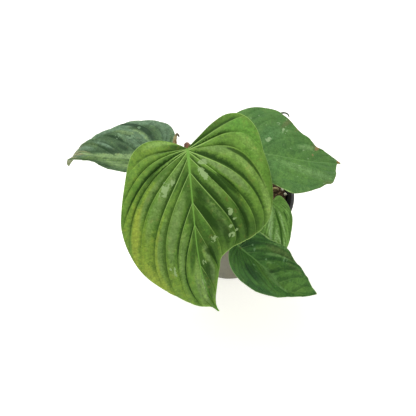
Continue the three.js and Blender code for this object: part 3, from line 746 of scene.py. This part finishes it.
                (.3, 8.2, .4, 1, 1.1), (-.3, 7.2, .12, .12, .6), (-.7, 7.2, .14, .12, .5),
                (-.5, 8.4, .2, .12, .4), (-.4, 5.6, .14, .1, .35), (.3, 5.4, .1, .3, .3)],
            "shade": [
                (-.15, 3.7, .14, .4, .6), (-.45, 6.75, .14, .1, .5), (-.12, 7.85, .12, .14, .45),
                (-.25, 6.5, .1, .12, .4), (.55, 4.85, .2, .14, .55), (.5, 5.9, .2, .1, .5)],
        },
    ),
    "low_right": dict(
        base=(31, -24.1, 108.5), yaw=-89.8, pitch=31, roll=0, length=52.2, arch=4, fold=(10, 10),
        curl=(.003, .003), pleat=.9, across=22, perField=10, wave=.2,
        midrib=[(0, 0), (.2, 10.7), (1, 21.3), (1.4, 31.8), (.8, 43.1), (.5, 52.2)],
        left=[(-1.9, -2.4), (-4.7, -5.3), (-8.3, -4.8), (-12.6, 1.2), (-15.5, 9.8), (-15.8, 17.2),
              (-14.4, 25.6), (-12.5, 34), (-8.7, 42.2), (-3.8, 48.2), (.1, 52.2)],
        right=[(1.4, -2.4), (3.6, -5.3), (6.8, -5.3), (9.8, 1.2), (11.7, 9.8), (12, 18.3), (10.9, 28.8),
               (8, 39.1), (4, 47.7), (.9, 52.2)],
        look=dict(mid="#84b456", crown="#93c266", dusk="#5f9038", deep="#3f6a22", pale="#b6dc92",
                  vein="#a9d583", edge="#bfe298", under="#8fb472", silver="#b4d89a", band=.4, dark=.6,
                  line=.15, mottle=.22, rust=.1, fleck=.1, rib=.8, gloss=.46),
        depth=[[.25] * 11, [.3] * 11],
        marks={
            "silver": [(2, 24, 1.2, 9, .4, 4)],
        },
        tints={
            "dusk": [(-.45, 7, 1.4, .2, .8, 105), (-.15, 8.4, .1, 1.5, .7), (-.95, 3.5, .1, 2, .8)],
            "pale": [
                (-.5, 5.9, .9, .12, .7, 104), (-.1, 6.3, .1, 1.2, .5), (-.36, 8.7, .12, 1, .6),
                (.15, 8, .25, 2.5, .9), (-.85, 7.3, .15, .4, .5), (-.6, 8.3, .2, .3, .7)],
            "shade": [(-.48, 7.2, 1.3, .1, 1, 105), (-.66, 4.5, .12, .3, .8), (.4, 5, .2, .6, .6)],
            "shallow": [(-.8, 7.5, .3, .6, 1)],
        },
    ),
}
usualLeaf = dict(hook=0, rise=1, veins=dict(left=usualVeins, right=usualVeins), depth=[[1] * 11] * 2)
leaves = {name: {**usualLeaf, **leaf} for name, leaf in leaves.items()}
broadKinds = ("dusk", "lime", "gold", "bright", "olive", "grey", "pale")  # laid on in this order
sharpKinds = {"shade": 0.35, "scuff": 0.15, "silver": 0.06}  # half the width of a mark's soft edge

bladeForm = {
    "thin": .35, "thick": .3,  # at the margin, and what the middle has more
    "keel": 1.1, "keelWidth": .9, "keelFade": .8, "veinRidge": .35, "veinWidth": .5,
    "hookStart": .82, "crownLean": .85, "crownFullness": .6, "crownRise": 2.2, "crownFade": .55,
    "waveTurn": 3.1, "waveShift": 1.3, "columnCrowding": .92,
}
leafGrain = {
    "cloud": 7.0, "coarse": 22.0, "fine": 75.0, "cells": 52.0, "flecks": 30.0, "net": 90.0, "fibre": 9.0,
    "rusty": "#7d6a35", "widestBand": 3.6, "bump": .4, "bumpDepth": .00045,
}


def makeLeafSkin(name, look, kinds):
    material, tree, bsdf = startFinish(name, look["gloss"], 0.18)
    flat = readAttribute(tree, "flat", "Vector")
    veins = readAttribute(tree, "field")
    field = calc(tree, "FRACT", veins)
    spacing = readAttribute(tree, "spacing")
    past = times(tree, field, spacing)  # millimetres beyond the last vein
    before = calc(tree, "SUBTRACT", spacing, past)  # and short of the next one
    reach = calc(tree, "ABSOLUTE", readAttribute(tree, "reach"))
    depth = readAttribute(tree, "depth")
    cloud = speckle(tree, flat, leafGrain["cloud"], 3)
    coarse = speckle(tree, flat, leafGrain["coarse"], 3, 0.6)
    fine = speckle(tree, flat, leafGrain["fine"], 3, 0.6)
    fibre = speckle(tree, combine(tree, veins, reach, 0.0), leafGrain["fibre"], 3, stretch=(6.0, 1.0, 1.0))
    cells = put(tree, "ShaderNodeTexVoronoi", {"Vector": flat, "Scale": leafGrain["cells"]})
    cell = flow(tree, "ShaderNodeSeparateColor", {"Color": cells.outputs["Color"]})

    fade = step(tree, reach, 0.0, 0.06)
    outward = step(tree, reach, 0.82, 1.0, 1, 0.1)
    ragged = plus(tree, calc(tree, "SUBTRACT", coarse, 0.5), calc(tree, "SUBTRACT", fine, 0.5))
    crowned = times(tree, step(tree, past, 0.5, 1.6), step(tree, before, 0.8, 2.4))

    # ground colour, broad tints, of which the dusk ones are painted shade, rust on the crowns, fibres and
    # mottling
    coats = [(step(tree, cloud, 0.35, 0.65), look["crown"])]
    for kind in broadKinds:
        if kind in kinds:
            amount = readAttribute(tree, kind)
            loose = step(tree, plus(tree, amount, times(tree, ragged, 0.7)), 0.05, 1.0)
            coats.append((times(tree, loose, step(tree, amount, 0.02, 0.25)), look[kind]))
    rusty = times(tree, step(tree, coarse, 0.55, 0.7, 0, look["rust"]), crowned)
    coats += [(rusty, leafGrain["rusty"]), (step(tree, fibre, 0.45, 0.75, 0, 0.3), look["pale"])]
    value = plus(tree, times(tree, coarse, 0.8), fine, times(tree, cell, look["mottle"]),
                 0.12 - look["mottle"] / 2)
    color = paint(tree, look["mid"], *coats)
    color = flow(tree, "ShaderNodeHueSaturation", {"Color": color, "Value": value})

    # each vein lies in a hollow, with painted shade darkening the field towards it, most of all just before
    # it, and a painted highlight as a light line just past it
    sinkingShade = times(tree, step(tree, field, 0.25, 0.9), fade, outward, depth, look["dark"] * 0.5)
    width = calc(tree, "MINIMUM", times(tree, spacing, look["band"]), leafGrain["widestBand"])
    inBand = calc(tree, "DIVIDE", plus(tree, before, times(tree, ragged, leafGrain["widestBand"])), width)
    valleyShade = times(tree, step(tree, inBand, 0.4, 1.2, 1, 0), fade, outward, depth, look["dark"])
    line = times(tree, step(tree, past, 0.05, 0.2), step(tree, past, 0.45, 0.95, 1, 0),
                 step(tree, reach, 0.1, 0.75, look["line"], look["line"] * 0.25))
    coats = [(sinkingShade, look["dusk"]), (valleyShade, look["deep"]), (line, look["edge"])]

    torn = plus(tree, calc(tree, "SUBTRACT", cell, 0.5), times(tree, ragged, 0.4))
    for kind, soft in sharpKinds.items():
        if kind in kinds:
            amount = readAttribute(tree, kind)
            loose = plus(tree, amount, torn if kind == "silver" else ragged)
            factor = times(tree, step(tree, loose, 0.46 - soft, 0.46 + soft, 0, 0.88),
                           step(tree, amount, 0.02, 0.2))
            coats.append((factor, look["deep" if kind == "shade" else kind]))

    if "fleck" in look:
        flecks = put(tree, "ShaderNodeTexVoronoi", {"Vector": flat, "Scale": leafGrain["flecks"]})
        choose = flow(tree, "ShaderNodeSeparateColor", {"Color": flecks.outputs["Color"]})
        dots = times(tree, step(tree, flecks.outputs["Distance"], 0.08, 0.22, 1, 0),
                     step(tree, choose, 0.7, 0.8, 0, look["fleck"]))
        coats.append((dots, look["silver"]))

    # midrib, then the rim and the underside, which a withered tip leaves out
    ribWidth = step(tree, veins, 5.5, 8.0, look["rib"], look["rib"] * 0.35)
    fromRib = calc(tree, "DIVIDE", readAttribute(tree, "fromMidrib"), ribWidth)
    fresh = [step(tree, readAttribute(tree, "olive"), 0.5, 0.9, 1, 0.15)] if "olive" in kinds else []
    rim = times(tree, step(tree, readAttribute(tree, "toEdge"), 0.3, 0.95, 0.8, 0), *fresh)
    coats += [(step(tree, fromRib, 0.6, 1.2, 0.9, 0), look["vein"]), (rim, look["edge"]),
              (times(tree, readAttribute(tree, "under"), *fresh), look["under"])]
    uneven = step(tree, coarse, 0.3, 0.7, look["gloss"] - 0.05, look["gloss"] + 0.12)
    link(tree, bsdf.inputs["Roughness"], uneven)
    net = put(tree, "ShaderNodeTexVoronoi", {"Vector": flat, "Scale": leafGrain["net"]},
              feature="DISTANCE_TO_EDGE")
    relief = plus(tree, times(tree, step(tree, net.outputs["Distance"], 0, 0.12), 0.4), fibre, coarse)
    endFinish(tree, bsdf, paint(tree, color, *coats), relief, leafGrain["bump"], leafGrain["bumpDepth"])
    return material


def bladePlane(leaf):
    tilt, yaw, roll = (math.radians(leaf[k]) for k in ("pitch", "yaw", "roll"))
    forward = np.array([math.cos(tilt) * math.cos(yaw), math.cos(tilt) * math.sin(yaw), -math.sin(tilt)])
    flatSide = np.array([math.sin(yaw), -math.cos(yaw), 0])
    flatUp = np.cross(flatSide, forward)
    side = math.cos(roll) * flatSide + math.sin(roll) * flatUp
    up = math.cos(roll) * flatUp - math.sin(roll) * flatSide
    return side, forward, up


def bladeHeight(leaf, x, y, midX, isRight):
    u = y / leaf["length"]
    off = np.abs(x - midX)
    start = bladeForm["hookStart"]
    z = 4 * leaf["arch"] * u * (1 - u) - leaf["hook"] * (np.maximum(0, u - start) / (1 - start)) ** 2
    return z + math.tan(math.radians(leaf["fold"][isRight])) * off - leaf["curl"][isRight] * off ** 2


def halfBlade(leaf, side):
    # rows run over the fields from the notch to the tip, columns from the midrib to the margin
    veins, perField, isRight = leaf["veins"][side], leaf["perField"], side == "right"
    rows = np.linspace(0, lastVein, lastVein * perField + 1)
    reach = np.linspace(0, 1, leaf["across"] + 1) ** bladeForm["columnCrowding"]
    field, r = np.meshgrid(rows, reach, indexing="ij")
    read = lambda numbers: np.interp(field, range(lastVein + 1), numbers)
    place = read(veins["heading"]) + (read(veins["landing"]) - read(veins["heading"])) * r ** 3
    midrib = smoothPath(leaf["midrib"])
    a = readPath(midrib, read(veinStart) ** leaf["rise"])
    c = readPath(smoothPath(leaf[side]), place)
    halfway = a[..., 1] + (c[..., 1] - a[..., 1]) * read(veins["sag"])
    b = np.stack([(a[..., 0] + c[..., 0]) / 2, halfway], -1)
    t = r[..., None]
    p = (1 - t) ** 2 * a + 2 * t * (1 - t) * b + t * t * c
    x, y = p[..., 0], p[..., 1]
    midX = np.interp(y, midrib[:, 1], midrib[:, 0])
    z = bladeHeight(leaf, x, y, midX, isRight)
    part = field - np.floor(field)
    crown = np.maximum(0, np.sin(np.pi * part ** bladeForm["crownLean"])) ** bladeForm["crownFullness"]
    fading = np.minimum(1, bladeForm["crownRise"] * r) * (1 - bladeForm["crownFade"] * r ** 3)
    z += leaf["pleat"] * crown * fading
    shift = bladeForm["waveShift"] if isRight else 0
    calm = np.minimum(1, (lastVein - field) / 2)  # no waves at the very tip
    z += leaf["wave"] * r ** 6 * np.sin(field * bladeForm["waveTurn"] + shift) * calm
    step = np.linalg.norm(np.diff(p, axis=0), axis=-1) * perField
    spacing = np.vstack([step, step[-1:]])
    for k in range(lastVein):
        rowsHere = slice(k * perField, (k + 1) * perField)
        spacing[rowsHere] = spacing[rowsHere].mean(axis=0)
    length = np.linalg.norm(np.diff(p, axis=1), axis=-1)
    toEdge = np.concatenate([np.cumsum(length[:, ::-1], axis=1)[:, ::-1], np.zeros((len(p), 1))], axis=1)
    depth = np.array(leaf["depth"][isRight])[np.minimum(field.astype(int), lastVein - 1)]
    signed = r if isRight else -r
    return dict(x=x, y=y, z=z, depth=depth, field=field, reach=signed, spacing=spacing, toEdge=toEdge,
                fromMidrib=np.abs(x - midX))


def markAmount(marks, x, y):
    total = np.zeros_like(x)
    for cx, cy, wide, tall, strength, *turn in marks:
        angle = math.radians(turn[0]) if turn else 0
        u = ((x - cx) * math.cos(angle) + (y - cy) * math.sin(angle)) / wide
        v = ((y - cy) * math.cos(angle) - (x - cx) * math.sin(angle)) / tall
        soft = np.clip(1.5 - np.sqrt(u * u + v * v), 0, 1)
        total = np.maximum(total, strength * soft * soft * (3 - 2 * soft))
    return total


def bladeFaces(rows, columns):
    # upper sheet, lower sheet, and the strip round the margin that joins them
    under = rows * columns
    at = lambda i, j: i * columns + j
    faces, margin = [], []
    for i in range(rows - 1):
        for j in range(columns - 1):
            a, b, c, d = at(i, j), at(i, j + 1), at(i + 1, j + 1), at(i + 1, j)
            faces += [(a, b, c, d), (under + a, under + d, under + c, under + b)]
        margin += [(at(i, columns - 1), at(i + 1, columns - 1)), (at(i + 1, 0), at(i, 0))]
    for j in range(columns - 1):
        margin += [(at(0, j), at(0, j + 1)), (at(rows - 1, j + 1), at(rows - 1, j))]
    return faces + [(a, under + a, under + b, b) for a, b in margin]


def makeBlade(name, leaf):
    left, right = halfBlade(leaf, "left"), halfBlade(leaf, "right")
    both = {key: np.concatenate([left[key][:, :0:-1], right[key]], axis=1) for key in left}
    rows, columns = both["x"].shape
    side, forward, up = bladePlane(leaf)
    toMargin = np.abs(both["reach"])
    thickness = bladeForm["thin"] + bladeForm["thick"] * (1 - toMargin ** 3)
    ridge = bladeForm["keel"] * np.exp(-(both["fromMidrib"] / bladeForm["keelWidth"]) ** 2)
    ridge *= 1 - bladeForm["keelFade"] * both["field"] / lastVein
    toVein = np.minimum(both["field"] % 1, 1 - both["field"] % 1) * both["spacing"]
    ridge += bladeForm["veinRidge"] * np.exp(-(toVein / bladeForm["veinWidth"]) ** 2)
    lowered = thickness + ridge * np.minimum(1, 4 * (1 - toMargin) + .1)
    points = []
    for z in (both["z"], both["z"] - lowered):
        points.append(np.array(leaf["base"]) + both["x"][..., None] * side
                      + both["y"][..., None] * forward + z[..., None] * up)
    points = np.concatenate([p.reshape(-1, 3) for p in points])
    flat = np.stack([both["x"], both["y"], np.zeros_like(both["x"])], -1) / 100
    attributes = {"flat": np.tile(flat.reshape(-1, 3), (2, 1)),
                  "under": np.repeat([0.0, 1.0], rows * columns)}
    filled = markAmount(leaf["tints"].get("shallow", ()), both["reach"], both["field"])
    both["depth"] = both["depth"] * (1 - filled)
    for key in ("field", "reach", "spacing", "toEdge", "fromMidrib", "depth"):
        attributes[key] = np.tile(both[key].ravel(), 2)
    kinds = set(leaf["marks"]) | set(leaf["tints"]) - {"shallow"}
    for kind in sorted(kinds):
        amount = np.maximum(markAmount(leaf["marks"].get(kind, ()), both["x"], both["y"]),
                            markAmount(leaf["tints"].get(kind, ()), both["reach"], both["field"]))
        attributes[kind] = np.tile(amount.ravel(), 2)
    skin = makeLeafSkin("leafSkin_" + name, leaf["look"], kinds)
    return buildMesh("blade_" + name, points, bladeFaces(rows, columns), skin, attributes)


for name, leaf in leaves.items():
    finishPiece(makeBlade(name, leaf), "blade_" + name, "blade_" + name)
print("blades ready")


def makeStalkTree():
    # a tube along a curve that is wide at its foot, with small warts or scales scattered over it
    tree, given, result = openTree("stalk", [
        ("Foot Radius", "Float", 0.002), ("Top Radius", "Float", 0.002), ("Clasp", "Float", 0.001),
        ("Sharpness", "Float", 1.0), ("Flatness", "Float", 1.0), ("Sides", "Int", 20), ("Steps", "Int", 90),
        ("Knobble", "Float", 0.0001), ("Scale Density", "Float", 0.0), ("Scale Size", "Float", 0.0004),
        ("Seed", "Int", 1), ("Skin", "Material", None)])
    curve = flow(tree, "GeometryNodeResampleCurve", {"Curve": given["Geometry"], "Count": given["Steps"]})
    along = put(tree, "GeometryNodeSplineParameter").outputs["Factor"]
    slim = flow(tree, "ShaderNodeMix", {
        0: calc(tree, "POWER", along, given["Sharpness"]), 2: given["Foot Radius"], 3: given["Top Radius"],
    }, data_type="FLOAT")
    clasp = times(tree, given["Clasp"], calc(tree, "EXPONENT", times(tree, along, -10.0)))
    curve = flow(tree, "GeometryNodeStoreNamedAttribute", {
        "Geometry": curve, "Name": "along", "Value": along}, data_type="FLOAT", domain="POINT")
    section = flow(tree, "GeometryNodeCurvePrimitiveCircle", {"Resolution": given["Sides"], "Radius": 1.0})
    section = flow(tree, "GeometryNodeTransform", {
        "Geometry": section, "Scale": combine(tree, 1.0, given["Flatness"], 1.0)})
    body = flow(tree, "GeometryNodeCurveToMesh", {
        "Curve": curve, "Profile Curve": section, "Scale": plus(tree, slim, clasp), "Fill Caps": True})
    rough = put(tree, "ShaderNodeTexNoise", {"Scale": 450.0, "Detail": 2.0}).outputs["Fac"]
    push = times(tree, calc(tree, "SUBTRACT", rough, 0.5), given["Knobble"])
    offset = flow(tree, "ShaderNodeVectorMath", {
        0: flow(tree, "GeometryNodeInputNormal"), "Scale": push}, operation="SCALE")
    body = flow(tree, "GeometryNodeSetPosition", {"Geometry": body, "Offset": offset})
    body = flow(tree, "GeometryNodeSetShadeSmooth", {"Geometry": body})
    spread = put(tree, "GeometryNodeDistributePointsOnFaces", {
        "Mesh": body, "Density": given["Scale Density"], "Seed": given["Seed"]})
    wart = flow(tree, "GeometryNodeMeshIcoSphere", {"Radius": given["Scale Size"], "Subdivisions": 1})
    tall = put(tree, "FunctionNodeRandomValue", {2: 0.6, 3: 1.5, "Seed": given["Seed"]}, data_type="FLOAT")
    warts = flow(tree, "GeometryNodeInstanceOnPoints", {
        "Points": spread.outputs["Points"], "Instance": wart, "Rotation": spread.outputs["Rotation"],
        "Scale": combine(tree, 0.7, 0.7, tall.outputs[1])})
    joined = tree.nodes.new("GeometryNodeJoinGeometry")
    for part in (warts, body):
        tree.links.new(part, joined.inputs[0])
    real = flow(tree, "GeometryNodeRealizeInstances", {"Geometry": joined.outputs[0]})
    skinned = flow(tree, "GeometryNodeSetMaterial", {"Geometry": real, "Material": given["Skin"]})
    tree.links.new(skinned, result)
    return tree


stalkTree = makeStalkTree()


def growStalk(name, path, skin, sizes):
    line = bpy.data.curves.new(name + "Path", "CURVE")
    line.dimensions = "3D"
    points = readPath(smoothPath(path), np.linspace(0, 1, 60)) * mm
    spline = line.splines.new("POLY")
    spline.points.add(len(points) - 1)
    for slot, p in zip(spline.points, points):
        slot.co = (*p, 1)
    values = {"Scale Size": 0.32, **sizes}
    for label in ("Foot Radius", "Top Radius", "Clasp", "Knobble", "Scale Size"):
        values[label] *= mm
    values["Skin"] = skin
    return runTree(stalkTree, placeObject(name + "Path", line), name, values)


# where each petiole runs up to its blade
petiole = {
    "front": [(-1, 3, 97), (-9, 3, 112), (-22, -3, 133), (-32.5, -11, 153), (-36, -16.8, 165.5),
              (-36.3, -20.5, 169)],
    "left": [(-3, -2, 91), (-10, -5, 99), (-20, -6, 112), (-34, -8.5, 131), (-49, -11.5, 143.5)],
    "right": [(2, -1, 96), (3, -2, 107), (-1, -4, 123), (-7, -6.5, 139), (-3.5, -9, 148.5)],
    "low_front": [(-1, -3, 89), (-2.5, -11, 93.5), (-4, -26, 100.5), (-2.5, -43, 105.5), (-.8, -56, 106)],
    "low_right": [(3, -2, 87), (10, -6, 97), (18, -11, 105), (26, -18, 108)],
}
petioleForm = {
    "red": "#96694c", "brown": "#54372a", "below": 2.9, "hold": 5,  # it runs on under the midrib
    "sizes": {"Foot Radius": 2.2, "Top Radius": 2.0, "Clasp": 1.2, "Knobble": .3,
              "Scale Density": 500000.0, "Seed": 3},
}

petioleSkin = makeStalkSkin("petioleSkin", petioleForm["red"], petioleForm["brown"])
for name, path in petiole.items():
    side, forward, up = bladePlane(leaves[name])
    held = [leaves[name]["base"] + forward * y - up * petioleForm["below"] for y in (0, petioleForm["hold"])]
    made = growStalk("petiole_" + name, path + held, petioleSkin, petioleForm["sizes"])
    finishPiece(made, "petiole_" + name, "petiole_skin")

# skin: name, colour, darker colour, colour of the tip, where that begins, roughness
sideShoots = {
    "dry_sheath": dict(
        slot="dry_sheath", skin=("sheathSkin", "#dcca9c", "#a0835a", "#454240", 0.97, 0.75),
        sizes={"Sharpness": 4.0, "Flatness": 1.1, "Foot Radius": 2.9, "Top Radius": .45, "Clasp": .2,
               "Knobble": 1.0},
        path=[(-5, 2.5, 87), (-14, 5, 98), (-28, 5, 116), (-40, 0, 135), (-45.5, -4.9, 150.7),
              (-46.4, -5.9, 157.2), (-45.6, -6.3, 163.2), (-44, -6.9, 167.7), (-43, -7.9, 168),
              (-42.6, -8.3, 166.3)]),
    "rolled_leaf": dict(
        slot="rolled_leaf", skin=("youngSkin", "#8a9a68", "#3c4a38", "#3c4a38", 0.9, 0.5),
        sizes={"Sharpness": 2.4, "Foot Radius": 2.3, "Top Radius": .4, "Clasp": .2, "Knobble": .3},
        path=[(2, 4, 93), (7, 10, 103), (18, 23, 121), (31, 33, 138), (38.5, 38.5, 147.5),
              (43, 39.5, 148.8), (46.5, 38.5, 147.3), (47, 38, 145.5)]),
    "surface_root": dict(
        slot="root_skin", skin=("rootSkin", "#e6d8a8", "#b39a68", None, 0.9, 0.7),
        sizes={"Foot Radius": 1.0, "Top Radius": .8, "Clasp": .1, "Knobble": .35},
        path=[(21, 4, 78), (28, 5.5, 85.5), (37, 7.3, 87.8), (42.5, 8.8, 86.5), (43.5, 9, 80)]),
}
for name, shoot in sideShoots.items():
    made = growStalk(name, shoot["path"], makeStalkSkin(*shoot["skin"]), shoot["sizes"])
    finishPiece(made, name, shoot["slot"])
print("stalks ready")
